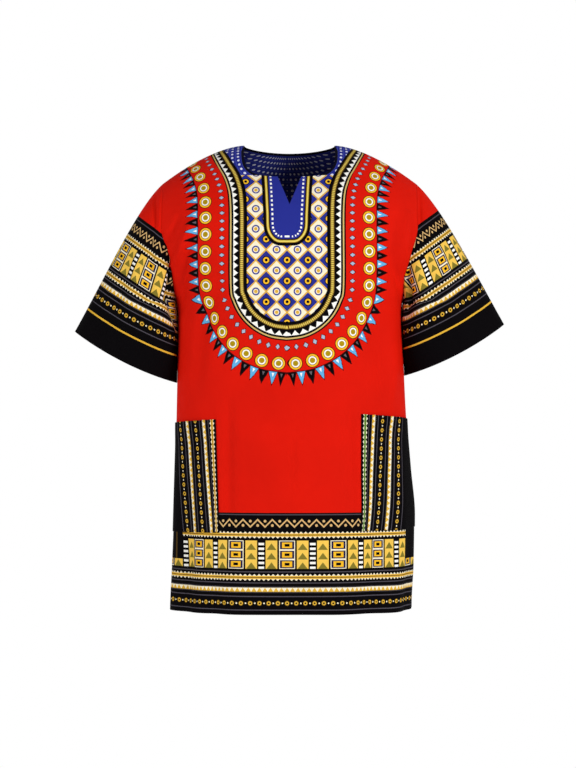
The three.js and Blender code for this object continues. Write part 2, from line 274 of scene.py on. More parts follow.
def crease_depth(creases, x, z):
    """How far the creases move the cloth out at places seen from the front."""
    total = np.zeros_like(x)
    for points, width, depth in creases:
        line = np.array(points, dtype=float)
        best = np.full(x.shape, np.inf)
        along = np.zeros_like(x)
        for i, (a, b) in enumerate(zip(line[:-1], line[1:])):
            step = b - a
            t = ((x - a[0]) * step[0] + (z - a[1]) * step[1]) / (step @ step)
            held = np.clip(t, 0, 1)
            off = np.hypot(x - a[0] - held * step[0], z - a[1] - held * step[1])
            nearer = off < best
            best = np.where(nearer, off, best)
            along = np.where(nearer, (i + held) / (len(line) - 1), along)
        total += depth * np.sin(np.pi * along) ** 0.7 * np.exp(-((best / width) ** 2))
    return total


def grid_normals(grid, closed=False):
    """Unit normals of a grid of places by its own neighbours. Closed grids wrap their columns."""
    if closed:
        across = np.roll(grid, -1, axis=1) - np.roll(grid, 1, axis=1)
    else:
        across = np.gradient(grid, axis=1)
    normal = np.cross(across, np.gradient(grid, axis=0))
    return normal / np.maximum(np.linalg.norm(normal, axis=-1, keepdims=True), 1e-9)


def add_grid(name, columns, rows):
    """A grid primitive, and the order that sorts its vertices into rows from the bottom left."""
    bpy.ops.object.select_all(action="DESELECT")
    bpy.ops.mesh.primitive_grid_add(x_subdivisions=columns, y_subdivisions=rows, size=2)
    piece = bpy.context.object
    piece.name = piece.data.name = name
    place = np.empty(3 * len(piece.data.vertices))
    piece.data.vertices.foreach_get("co", place)
    place = place.reshape(-1, 3).round(5)
    return piece, np.lexsort((place[:, 0], place[:, 1]))


def set_places(piece, order, grid):
    place = np.empty((len(order), 3))
    place[order] = grid.reshape(-1, 3) * MM
    piece.data.vertices.foreach_set("co", place.ravel())
    piece.data.update()


def set_map(piece, order, name, across, up):
    """A UV map in millimetres, from values on the grid."""
    value = np.empty((len(order), 2))
    value[order] = np.stack([across.ravel(), up.ravel()], axis=-1)
    corner = np.empty(len(piece.data.loops), dtype=np.int32)
    piece.data.loops.foreach_get("vertex_index", corner)
    layer = piece.data.uv_layers.get(name) or piece.data.uv_layers.new(name=name)
    layer.data.foreach_set("uv", value[corner].ravel())


def face_values(piece, order, grid_value):
    """A grid value averaged on each face of the piece."""
    value = np.empty(len(order))
    value[order] = grid_value.ravel()
    corner = np.empty(len(piece.data.loops), dtype=np.int32)
    piece.data.loops.foreach_get("vertex_index", corner)
    return value[corner].reshape(-1, 4).mean(axis=1)


def thicken(piece, inner_slots=0):
    """Gives a piece the cloth's thickness. The dye goes through, so the print shows inside too."""
    bpy.ops.object.select_all(action="DESELECT")
    piece.select_set(True)
    bpy.context.view_layer.objects.active = piece
    solidify = piece.modifiers.new("thickness", "SOLIDIFY")
    solidify.thickness = CLOTH * MM
    solidify.offset = 0
    solidify.use_quality_normals = True
    solidify.material_offset = inner_slots
    bpy.ops.object.modifier_apply(modifier=solidify.name)
    bpy.ops.object.shade_smooth()


# The print's own plan: a bib with straight sides and a round foot, a cord inside it, a row of suns
# round it and a short square placket at the slit. Each line runs from the shoulder seam to the
# middle, and is the same on the other side.
BIB_HALF = 96
BIB_FOOT = -330
CORD_INSET = 22
SUNS_OUTSET = 38
PLACKET_LINE = [(36, -50), (34, -80), (32, -120), (30, -150), (18, -166), (0, -168)]


def rounded_line(half, foot):
    """Down from the shoulder seam, straight at half a width, and round to the foot."""
    turn = np.radians(np.linspace(0, 90, 6))
    bend = zip(half * np.cos(turn), foot + half * (1 - np.sin(turn)))
    return [(half + 26, -30), (half + 8, -64), (half, -110), *bend]


BIB_LINE = rounded_line(BIB_HALF, BIB_FOOT)
CORD_LINE = rounded_line(BIB_HALF - CORD_INSET, BIB_FOOT + CORD_INSET)
RING_LINE = rounded_line(BIB_HALF + SUNS_OUTSET, BIB_FOOT - SUNS_OUTSET)
PRINT_SHIFT = 4


def smooth_line(points, steps=8):
    """A line through the points with rounded turns."""
    points = np.array(points, dtype=float)
    ends = np.vstack([2 * points[0] - points[1], points, 2 * points[-1] - points[-2]])
    line = []
    for a, b, c, d in zip(ends[:-3], ends[1:-2], ends[2:-1], ends[3:]):
        for t in np.arange(steps) / steps:
            line.append(
                0.5
                * (2 * b + (c - a) * t + (2 * a - 5 * b + 4 * c - d) * t**2 + (3 * b - a - 3 * c + d) * t**3)
            )
    return np.array(line + [points[-1]])


def along_line(face, seen, across, up):
    """Distance up a line from its point on the flat cloth, and distance inside it."""
    seen = smooth_line(seen)
    line = np.stack(face.flat(seen[:, 0], seen[:, 1]), axis=-1)
    lead = line[0] + (line[0] - line[1]) / np.linalg.norm(line[0] - line[1]) * 80
    tail = line[-1] + (line[-1] - line[-2]) / np.linalg.norm(line[-1] - line[-2]) * 80
    line = np.vstack([lead, line, tail])
    step = np.diff(line, axis=0)
    length = np.linalg.norm(step, axis=1)
    start = np.concatenate([[0], np.cumsum(length)[:-1]]) - 80
    out = np.abs(across)
    best = np.full(across.shape, np.inf)
    s = np.zeros_like(across)
    d = np.zeros_like(across)
    for a, unit, reach, begin in zip(line[:-1], step / length[:, None], length, start):
        x, y = out - a[0], up - a[1]
        held = np.clip(x * unit[0] + y * unit[1], 0, reach)
        off = np.hypot(x - held * unit[0], y - held * unit[1])
        inside = unit[1] * x - unit[0] * y
        nearer = off < best
        best = np.where(nearer, off, best)
        s = np.where(nearer, begin + held, s)
        d = np.where(nearer, np.where(inside > 0, off, -off), d)
    return length[1:-1].sum() - s, d


PANEL_COLUMNS = 180
PANEL_ROWS = {"below": 130, "above": 90}


def shaped(face, creases, u, v):
    """The panel's surface with its folds and creases, and the plain places below them."""
    grid = face.place(u, v)
    x, z = grid[..., 0].copy(), grid[..., 2].copy()
    grid += grid_normals(grid) * (face.fold_depth(u, z) + crease_depth(creases, x, z))[..., None]
    return grid, x, z


class Panel:
    """A front or back panel: its piece, vertex order, surface and flat places."""

    def __init__(self, name, face, creases):
        below = np.linspace(-1, 0, PANEL_ROWS["below"] + 1)
        turn = np.linspace(0, np.pi, PANEL_ROWS["above"] + 1)[1:]
        heights = np.concatenate([below, (1 - np.cos(turn)) / 2])
        self.piece, self.order = add_grid(name, PANEL_COLUMNS, len(heights) - 1)
        u, v = np.meshgrid(-face.sign * np.linspace(-1, 1, PANEL_COLUMNS + 1), heights)
        self.grid, x, z = shaped(face, creases, u, v)
        seam = (np.abs(u) > 0.999) & (v <= 0) | (v > 0.999) & (np.abs(u) >= NECK_END - 1e-6)
        self.normals = grid_normals(self.grid)
        self.grid[..., 1] = np.where(seam, face.sign * 0.05, self.grid[..., 1])
        set_places(self.piece, self.order, self.grid)
        self.across, self.up = face.flat(x, z)
        self.across += PRINT_SHIFT
        self.set_map("cloth", self.across, self.up)
        self.bib = along_line(face, BIB_LINE, self.across, self.up)
        self.ring = along_line(face, RING_LINE, self.across, self.up)
        self.set_map("bib", *self.bib)
        self.set_map("ring", *self.ring)
        for name, line in (("cord", CORD_LINE), ("placket", PLACKET_LINE)):
            self.set_map(name, *along_line(face, line, self.across, self.up))
        self.share = np.abs(u)
        self.set_map("edge", self.from_neck(), self.share)

    def from_neck(self):
        """Distance over the flat cloth from the neck edge."""
        neck = self.share[-1] <= NECK_END + 1e-6
        count = np.arange(neck.sum())
        step = np.linspace(0, count[-1], 600)
        far = np.full(self.up.shape, np.inf)
        across, up = (np.interp(step, count, side[-1][neck]) for side in (self.across, self.up))
        for a, b in zip(across, up):
            far = np.minimum(far, np.hypot(self.across - a, self.up - b))
        return far

    def set_map(self, name, across, up):
        set_map(self.piece, self.order, name, across, up)

    def dress(self, bib, inside):
        """Gives each face the material of its part of the print."""
        # inner faces take slots 4 to 7; the bib's inside material there is darkened as painted shade
        for material in (red_ground, hem_print, bib, ring_print, red_ground, hem_print, inside, ring_print):
            self.piece.data.materials.append(material)
        face = lambda value: face_values(self.piece, self.order, value)
        up, bib, ring = face(self.up), face(self.bib[1]), face(self.ring[1])
        slot = np.where(ring > -44, 3, 0)
        slot = np.where(bib > -4, 2, slot)
        # the side strips, partly print and partly painted shade, take the hem's material
        print_and_shade_strip = (face(self.share) > STRIP_EDGE - 0.02) & (up < STRIP_TOP + 6)
        slot = np.where((up < BORDER_TOP) | print_and_shade_strip, 1, slot)
        self.piece.data.polygons.foreach_set("material_index", slot.astype(np.int32))


# ---- The print's paint ----
# The cloth is dyed by wax resist: a red ground with a bib, a row of suns and rows of borders in
# gold, cream, blue and near-black. The print is drawn by each material from the flat cloth's
# millimetres, one motif over another.

RED = (213, 21, 5)
INK = (4, 2, 4)
NAVY = (10, 9, 27)
CREAM = (242, 232, 204)
WHITE = (244, 242, 236)
GOLD = (220, 172, 56)
LEMON = (226, 204, 96)
YELLOW = (242, 184, 40)
PALE_GOLD = (206, 176, 106)
OLIVE = (168, 140, 16)
ROYAL = (38, 46, 140)
INDIGO = (24, 23, 66)
SKY = (96, 170, 220)
MIST = (168, 180, 204)
ASH = (96, 90, 96)
SLATE = (76, 72, 80)
BROWN = (92, 52, 22)
WINE = (66, 4, 6)
BRONZE = (150, 112, 20)


def linear(colour):
    """An sRGB colour, 0 to 255, as Blender's linear RGBA."""
    share = np.array(colour) / 255
    value = np.where(share <= 0.04045, share / 12.92, ((share + 0.055) / 1.055) ** 2.4)
    return (*value, 1.0)


def add_node(tree, kind, settings=None, inputs=None):
    """A node with its settings made first, then the values or links of its sockets."""
    node = tree.nodes.new(kind)
    for name, value in (settings or {}).items():
        setattr(node, name, value)
    for name, value in (inputs or {}).items():
        if isinstance(value, Value):
            value = value.socket
        if isinstance(value, bpy.types.NodeSocket):
            tree.links.new(value, node.inputs[name])
        else:
            node.inputs[name].default_value = value
    return node


class Value:
    """A number that changes over the cloth. Arithmetic on it adds Math nodes."""

    def __init__(self, tree, socket):
        self.tree = tree
        self.socket = socket

    def math(self, operation, *others):
        inputs = dict(enumerate((self, *others)))
        node = add_node(self.tree, "ShaderNodeMath", {"operation": operation}, inputs)
        return Value(self.tree, node.outputs[0])

    def __add__(self, other):
        return self.math("ADD", other)

    __radd__ = __add__

    def __mul__(self, other):
        return self.math("MULTIPLY", other)

    __rmul__ = __mul__

    def __sub__(self, other):
        return self.math("SUBTRACT", other)

    def __rsub__(self, other):
        return self.math("MULTIPLY_ADD", -1, other)

    def __abs__(self):
        return self.math("ABSOLUTE")

    def __gt__(self, limit):
        return self.math("GREATER_THAN", limit)

    def __lt__(self, limit):
        return self.math("LESS_THAN", limit)

    def repeat(self, pitch):
        """Distance from the nearest multiple of pitch."""
        return self.math("WRAP", pitch / 2, -pitch / 2)

    def near(self, place, reach):
        """1 within reach of a place, and 0 beyond."""
        return self.math("COMPARE", place, reach)

    def scaled(self, factor, shift):
        return self.math("MULTIPLY_ADD", factor, shift)


def round_of(x, y):
    """Square of the distance from the middle."""
    return x.math("MULTIPLY_ADD", x, y * y)


class Print:
    """A print on cloth, built by painting one motif over another."""

    def __init__(self, name, ground):
        self.material = bpy.data.materials.new(name)
        self.material.use_nodes = True
        self.tree = self.material.node_tree
        self.tree.nodes.clear()
        self.colour = linear(ground)

    def map(self, name):
        """The two millimetre coordinates of one of the cloth's UV maps."""
        uv = add_node(self.tree, "ShaderNodeUVMap", {"uv_map": name})
        split = add_node(self.tree, "ShaderNodeSeparateXYZ", inputs={"Vector": uv.outputs["UV"]})
        return Value(self.tree, split.outputs["X"]), Value(self.tree, split.outputs["Y"])

    def paint(self, mask, colour):
        """Lays a colour where the mask is 1."""
        colour = colour if isinstance(colour, bpy.types.NodeSocket) else linear(colour)
        node = add_node(self.tree, "ShaderNodeMix", {"data_type": "RGBA"})
        self.tree.links.new(mask.socket, node.inputs["Factor"])
        for name, value in (("A", self.colour), ("B", colour)):
            socket = [s for s in node.inputs if s.name == name and s.type == "RGBA"][0]
            if isinstance(value, bpy.types.NodeSocket):
                self.tree.links.new(value, socket)
            else:
                socket.default_value = value
        self.colour = [s for s in node.outputs if s.type == "RGBA"][0]

    def blend(self, share, low, high):
        """A colour that goes from low to high with share."""
        node = add_node(self.tree, "ShaderNodeMix", {"data_type": "RGBA"})
        self.tree.links.new(share.socket, node.inputs["Factor"])
        for name, value in (("A", low), ("B", high)):
            [s for s in node.inputs if s.name == name and s.type == "RGBA"][0].default_value = linear(value)
        return [s for s in node.outputs if s.type == "RGBA"][0]

    def finish(self, light):
        """Ends the print as plain-weave cotton with a faint wax sheen. Its colour is scaled by light, which
        below 1 is painted shade.
        """
        tree = self.tree
        where = add_node(tree, "ShaderNodeTexCoord").outputs["Object"]
        cloud = add_node(
            tree, "ShaderNodeTexNoise", inputs={"Vector": where, "Scale": 9.0, "Detail": 3.0}
        )
        # random tone over the cloth, times light: below 1 this is painted shade
        shade = add_node(
            tree,
            "ShaderNodeMapRange",
            inputs={
                "Value": cloud.outputs["Fac"],
                "From Min": 0.3,
                "From Max": 0.7,
                "To Min": 0.93 * light,
                "To Max": 1.04 * light,
            },
        )
        tinted = add_node(tree, "ShaderNodeVectorMath", {"operation": "SCALE"})
        if isinstance(self.colour, bpy.types.NodeSocket):
            tree.links.new(self.colour, tinted.inputs[0])
        else:
            tinted.inputs[0].default_value = self.colour[:3]
        tree.links.new(shade.outputs["Result"], tinted.inputs["Scale"])
        across, up = self.map("cloth")
        warp = (across * (2 * np.pi / THREAD_PITCH)).math("SINE")
        weft = (up * (2 * np.pi / THREAD_PITCH)).math("SINE")
        weave = warp * weft
        rumple = add_node(
            tree, "ShaderNodeTexNoise", inputs={"Vector": where, "Scale": 34.0, "Detail": 2.0}
        )
        height = Value(tree, rumple.outputs["Fac"]).math("MULTIPLY_ADD", RUMPLE, weave * WEAVE)
        bump = add_node(
            tree, "ShaderNodeBump", inputs={"Strength": 1.0, "Distance": 1.0, "Height": height}
        )
        rough = weave.scaled(0.04, 0.66)
        skin = add_node(
            tree,
            "ShaderNodeBsdfPrincipled",
            inputs={
                "Base Color": tinted.outputs[0],
                "Roughness": rough,
                "Specular IOR Level": 0.04,
                "Normal": bump.outputs["Normal"],
            },
        )
        out = add_node(tree, "ShaderNodeOutputMaterial")
        tree.links.new(skin.outputs["BSDF"], out.inputs["Surface"])
        return self.material


THREAD_PITCH = 0.7
WEAVE = 0.00006
RUMPLE = 0.0012


def paint_teeth(design, along, off, band=GOLD):
    """A plain band, 12 mm wide with the cream teeth that point out from both its edges."""
    design.paint(off.near(0, 6), INK)
    design.paint(abs(along.repeat(7.6)).math("MULTIPLY_ADD", 0.9, abs(off)) < 5.6, CREAM)
    design.paint(off.near(0, 2.6), band)
    design.paint(off.near(0, 0.6), BROWN)


def paint_ribbon(design, along, off):
    """A cream ribbon filled with gold triangles."""
    design.paint(off.near(0, 5), SLATE)
    design.paint(off.near(0, 4.2), INK)
    design.paint(off.near(0, 3.4), CREAM)
    saw = abs(along.repeat(9)).math("MULTIPLY_ADD", 1.5, off)
    design.paint(off.near(0, 3.4) * (saw < 3.4), GOLD)


def paint_beads(design, along, off):
    """A row of round gold beads with dark eyes, and a cream dot between each two."""
    bead = round_of(along.repeat(15), off)
    for reach, colour in ((17, (96, 72, 20)), (10.5, GOLD), (2.4, INK)):
        design.paint(bead < reach, colour)
    design.paint(round_of((along + 7.5).repeat(15), off) < 1.7, CREAM)


# Heights of the rows above the borders' lower edge.
LINES_UP = (8, 30, 52, 70, 163)
BEADS_UP = 19
RIBBON_UP = 41
TEETH_UP = (61, 130)
BLOCKS_UP = 98
ZIGZAG_UP = 149


def paint_borders(design, along, up):
    """The rows of borders, with ink between them."""
    for height in LINES_UP:
        design.paint(up.near(height, 0.8), SLATE)
    paint_beads(design, along, up - BEADS_UP)
    paint_ribbon(design, along, up - RIBBON_UP)
    for height in TEETH_UP:
        paint_teeth(design, along, up - height)
    paint_blocks(design, along, up - BLOCKS_UP)
    paint_zigzag(design, along, up - ZIGZAG_UP)


def paint_blocks(design, along, off):
    """Nested squares, gold columns of triangles and white bars, in an 84 mm repeat."""
    inside = off.near(0, 23)
    design.paint(inside, INK)
    turn = abs(along.repeat(84))
    row = off.repeat(15.4)
    squares = inside * (turn < 13)
    design.paint(squares, CREAM)
    nest = (turn * 0.55).math("MAXIMUM", abs(row))
    for reach, colour in ((6.4, INDIGO), (4.6, YELLOW), (2.2, INK)):
        design.paint(squares * (nest < reach), colour)
    x = abs(turn - 25.5)
    column = inside * (x < 9.5)
    design.paint(column, (238, 194, 82))
    design.paint(column * (x.math("MULTIPLY_ADD", 1.3, row) < 3), (128, 116, 44))
    design.paint(inside * (turn > 37.4) * (off.repeat(7.7) > 0), WHITE)


def paint_zigzag(design, along, off):
    """A gold zigzag with a bead in each of its turns."""
    side = abs(along.repeat(24))
    gold = (212, 174, 116)
    design.paint((side + off).near(6, 1.6), gold)
    bead = round_of(side, off + 3.5).math("MINIMUM", round_of(side - 12, off - 3.5))
    design.paint(bead < 5, gold)


def paint_hem(design):
    across, up = design.map("cloth")
    design.paint(up < 166, INK)
    paint_borders(design, across, up)
    # dark strips up the side seams, with a dull line in each: partly print, and partly painted shade where
    # the cloth turns away at the sides
    print_and_shade_strip = (design.map("edge")[1] > STRIP_EDGE) * up.near((STRIP_TOP + 87) / 2, (STRIP_TOP - 87) / 2)
    design.paint(print_and_shade_strip, INK)
    design.paint(print_and_shade_strip * abs(across).near(231, 2), (78, 58, 24))


LOZENGE = 34


def paint_bib(design, yoke):
    """The bib: a toothed edge and a cord, a net of lozenges, and a dotted collar down to yoke.

    The front's has a barred placket round its slit."""
    placket = yoke == COLLAR_LOW
    along, into = design.map("cord")
    across, up = design.map("cloth")
    slit_along, inside_slit = design.map("placket")
    design.paint(design.map("bib")[1] > 0, INK)
    design.paint(into.near(-18.5, 1.2), PALE_GOLD)
    saw = abs(along.repeat(12)).math("MULTIPLY_ADD", 1.3, into)
    design.paint((saw < -6) * (into > -14), WHITE)
    paint_cord(design, along, into)
    field = into > 8.6
    if placket:
        field = field * (inside_slit < -7)
    # lozenges, royal and cream by turns, each with an eye
    half = LOZENGE / 2
    net = abs(across.repeat(LOZENGE)) + abs(up.repeat(LOZENGE))
    design.paint(field, CREAM)
    design.paint(field * (net < half), ROYAL)
    design.paint(field * net.near(half, 1.6), GOLD)
    eye = round_of(across.repeat(LOZENGE), up.repeat(LOZENGE))
    for reach, colour in ((44, NAVY), (25, YELLOW), (6, NAVY)):
        design.paint(field * (eye < reach), colour)
    eye = round_of((across + half).repeat(LOZENGE), (up + half).repeat(LOZENGE))
    design.paint(field * eye.near(30, 12), ROYAL)
    design.paint(field * (eye < 8), GOLD)
    if placket:
        edge = into > 6
        design.paint((inside_slit > -5) * edge, INK)
        design.paint((inside_slit > 4) * edge, ROYAL)
        design.paint(inside_slit.near(0, 2.3) * edge, BRONZE)
        design.paint(inside_slit.near(0, 1.3) * edge, LEMON)
        design.paint((slit_along.repeat(8) > 0) * inside_slit.near(8, 1.5) * edge, WHITE)
    # collar, to the neck edge and shoulder seams
    below, share = design.map("edge")
    collar = (into > 7.6) * (up > yoke)
    design.paint(collar, ROYAL)
    turn = across.math("ARCTAN2", up - NECK_MIDDLE) * 74
    design.paint(collar * below.repeat(10).near(4.6, 0.4), (72, 82, 176))
    design.paint(collar * (round_of(turn.repeat(9), below.repeat(10)) < 4.5), (222, 224, 246))
    neck = (share < NECK_END) * (up > COLLAR_LOW)
    design.paint(neck * (below < 4.6), NAVY)


CORD_REACH = 3.3


def paint_cord(design, along, off):
    """A ribbed lemon-gold cord."""
    design.paint(off.near(0, CORD_REACH), (124, 98, 30))
    design.paint(off.near(0, CORD_REACH * 0.62), (222, 196, 90))
    design.paint(along.repeat(3.3).near(0, 0.5) * off.near(0, CORD_REACH), BROWN)


COLLAR_LOW, YOKE_LOW = FRONT.flat(np.array([62.0, 40.0]), np.array([-57.0, -132.0]))[1]
NECK_MIDDLE = FRONT.flat(np.array([60.0]), np.array([-12.0]))[1][0]
BORDER_TOP = 170
# where the side strips begin across and how high they reach: partly print, partly painted shade
STRIP_EDGE = 0.72
STRIP_TOP = 306


TOOTH_PITCH = 14
SUN_PITCH = 28


def paint_ring(design):
    """Suns in a row round the bib, with small lozenges inside them and long teeth outside."""
    bib_along, bib_into = design.map("bib")
    along, into = design.map("ring")
    out = into * -1
    lozenge = abs(bib_along.repeat(14)).math("MULTIPLY_ADD", 1.4, abs(bib_into + 11))
    design.paint(lozenge < 6, WINE)
    design.paint(lozenge < 4.4, MIST)
    # teeth, blue and near-black by turns
    beside = along + TOOTH_PITCH / 2
    pale = abs(beside.repeat(2 * TOOTH_PITCH)) < TOOTH_PITCH / 2
    tooth = abs(beside.repeat(TOOTH_PITCH)).math("MULTIPLY_ADD", 3.2, out)
    design.paint((tooth < 38) * (out > 13), WINE)
    design.paint((tooth < 35) * (out > 14.5), design.blend(pale, INK, SKY))
    design.paint((tooth < 23) * (out > 16.5), design.blend(pale, ASH, WHITE))
    # suns
    sun = round_of((along + SUN_PITCH / 2).repeat(SUN_PITCH), out)
    for reach, colour in ((136, WINE), (108, YELLOW), (58, WINE), (46, WHITE), (20, OLIVE)):
        design.paint(sun < reach, colour)


# The inside of the collar and yoke is the same print, darkened to this share as painted shade.
INSIDE_LIGHT = 0.5


def printed(name, paint_rows, light=1.0):
    """A print's material from the function that paints it. Light below 1 darkens its colour as painted
    shade.
    """
    design = Print(name, RED)
    if paint_rows:
        paint_rows(design)
    return design.finish(light)


red_ground = printed("red_ground", None)
hem_print = printed("hem_print", paint_hem)
ring_print = printed("ring_print", paint_ring)
bib_print = printed("bib_print", lambda design: paint_bib(design, COLLAR_LOW))
# the bib's inside: the same print, darkened by INSIDE_LIGHT as painted shade
bib_inside_shaded = printed("bib_inside_shaded", lambda design: paint_bib(design, COLLAR_LOW), INSIDE_LIGHT)

front = Panel("front_cloth", FRONT, FRONT_CREASES)
front.dress(bib_print, bib_inside_shaded)
thicken(front.piece, 4)
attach(front.piece, "root")
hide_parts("front")

# ---- Back ----
# The back is cut as the front is, with a shallow neck and no slit, and hangs in deeper folds.

BACK_FOLDS = [
    (-0.8, 0.1, -6, -420, -0.05),
    (-0.57, 0.11, 7, -300, 0.1),
    (-0.33, 0.1, -8, -330, 0.08),
    (-0.08, 0.12, 6, -420, 0),
    (0.17, 0.1, -7, -360, -0.06),
    (0.42, 0.11, 7, -280, -0.08),
    (0.66, 0.09, -7, -400, -0.05),
    (0.88, 0.09, 4, -460, 0),
]
BACK_CREASES = [
    ([(186, -170), (178, -215), (185, -262)], 9, 4),
    ([(170, -150), (164, -210), (174, -290)], 11, -5),
    ([(-186, -165), (-178, -212), (-185, -262)], 9, 4),
    ([(-168, -140), (-162, -205), (-172, -280)], 11, -5),
    ([(-120, -70), (-60, -105), (40, -112), (120, -78)], 14, -2.5),
    ([(-100, -130), (-20, -150), (90, -138)], 16, 2.5),
    ([(60, -420), (52, -520), (58, -640)], 9, -3),
    ([(-120, -380), (-112, -480), (-118, -600)], 9, -3),
]
BACK = Face(1, BACK_NECK_RISE, 2, back_top_edge, BACK_FOLDS)

back = Panel("back_cloth", BACK, BACK_CREASES)
yoke_print = printed("yoke_print", lambda design: paint_bib(design, YOKE_LOW))
# the yoke's inside: the same print, darkened by INSIDE_LIGHT as painted shade
yoke_inside_shaded = printed("yoke_inside_shaded", lambda design: paint_bib(design, YOKE_LOW), INSIDE_LIGHT)
back.dress(yoke_print, yoke_inside_shaded)
thicken(back.piece, 4)
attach(back.piece, "root")
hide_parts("back")

# ---- Sleeves ----
# Wide elbow sleeves, each one piece sewn round the armhole and closed along the underarm. They
# slope out from the shoulders and hang open, just clear of the trunk.

CUFF_OUT_X = 360
CUFF_OUT_Z = -312
CUFF_IN_Z = -398
CUFF_HALF_DEPTH = 57
CUFF_DROOP = 9
BODY_CLEARANCE = 0.4
SEAM_GAP = 0.05
SLEEVE_ROWS = 110

# Folds along a sleeve: place and width as shares of half a turn from the top, front above 0;
# depth; and the share of the length where the fold dies out.
SLEEVE_FOLDS = [
    (0.7, 0.08, -9, 0.8),
    (0.56, 0.1, 4, 0.9),
    (-0.7, 0.09, -9, 0.9),
    (-0.5, 0.11, 4, 1),
    (-0.3, 0.1, -4, 1.1),
]
# Creases on the flat sleeve: millimetres round from the top line, front above 0, and up from the
# cuff.
SLEEVE_CREASES = [
    ([(60, 150), (72, 90), (66, 20)], 12, -3),
    ([(96, 120), (104, 70), (100, 10)], 12, 3),
    ([(30, 278), (62, 260), (84, 244), (104, 226)], 4.5, 3),
    ([(24, 268), (56, 247), (77, 230), (96, 210)], 4.5, -3.5),
    ([(88, 212), (112, 180), (128, 132), (124, 84)], 11, -5),
    ([(152, 194), (162, 176), (184, 132), (204, 88)], 6, -5),
    ([(70, 170), (92, 130), (96, 80)], 10, 3),
    ([(-70, 160), (-84, 90), (-76, 15)], 12, -3.5),
    ([(-30, 230), (-64, 190), (-118, 140)], 11, -3),
]


def sleeve_rim(side):
    """The armhole's edge from the underarm up the back and down the front to the underarm."""
    pit = PANEL_ROWS["below"]
    back_column = 0 if side > 0 else PANEL_COLUMNS
    up = slice(pit, None)
    places = [p.grid[up, c] for p, c in ((back, back_column), (front, PANEL_COLUMNS - back_column))]
    normals = [p.normals[up, c] for p, c in ((back, back_column), (front, PANEL_COLUMNS - back_column))]
    place = np.vstack([places[0][:-1], places[1][::-1][:-1]])
    normal = np.vstack([normals[0][:-1], normals[1][::-1][:-1]])
    place[[0, PANEL_ROWS["above"]], 1] = 0
    along = np.roll(place, -1, axis=0) - np.roll(place, 1, axis=0)
    along /= np.linalg.norm(along, axis=1, keepdims=True)
    away = side * np.cross(normal, along)
    away /= np.linalg.norm(away, axis=1, keepdims=True)
    return place, normal, away


def sleeve_starts(side, leave):
    """Where each column of a sleeve leaves the armhole, clear of the panel's wall."""
    place, normal, away = sleeve_rim(side)
    dot = lambda a, b: (a * b).sum(axis=1, keepdims=True)
    turn = np.arctan2(dot(leave, normal), dot(leave, away))
    out = normal * np.cos(turn) - away * np.sin(turn)
    gap = away * np.cos(turn / 2) + normal * np.sin(turn / 2)
    return place + (normal - out) * np.sign(turn) * CLOTH / 2 + gap * SEAM_GAP


TUCK_DEPTH = 38


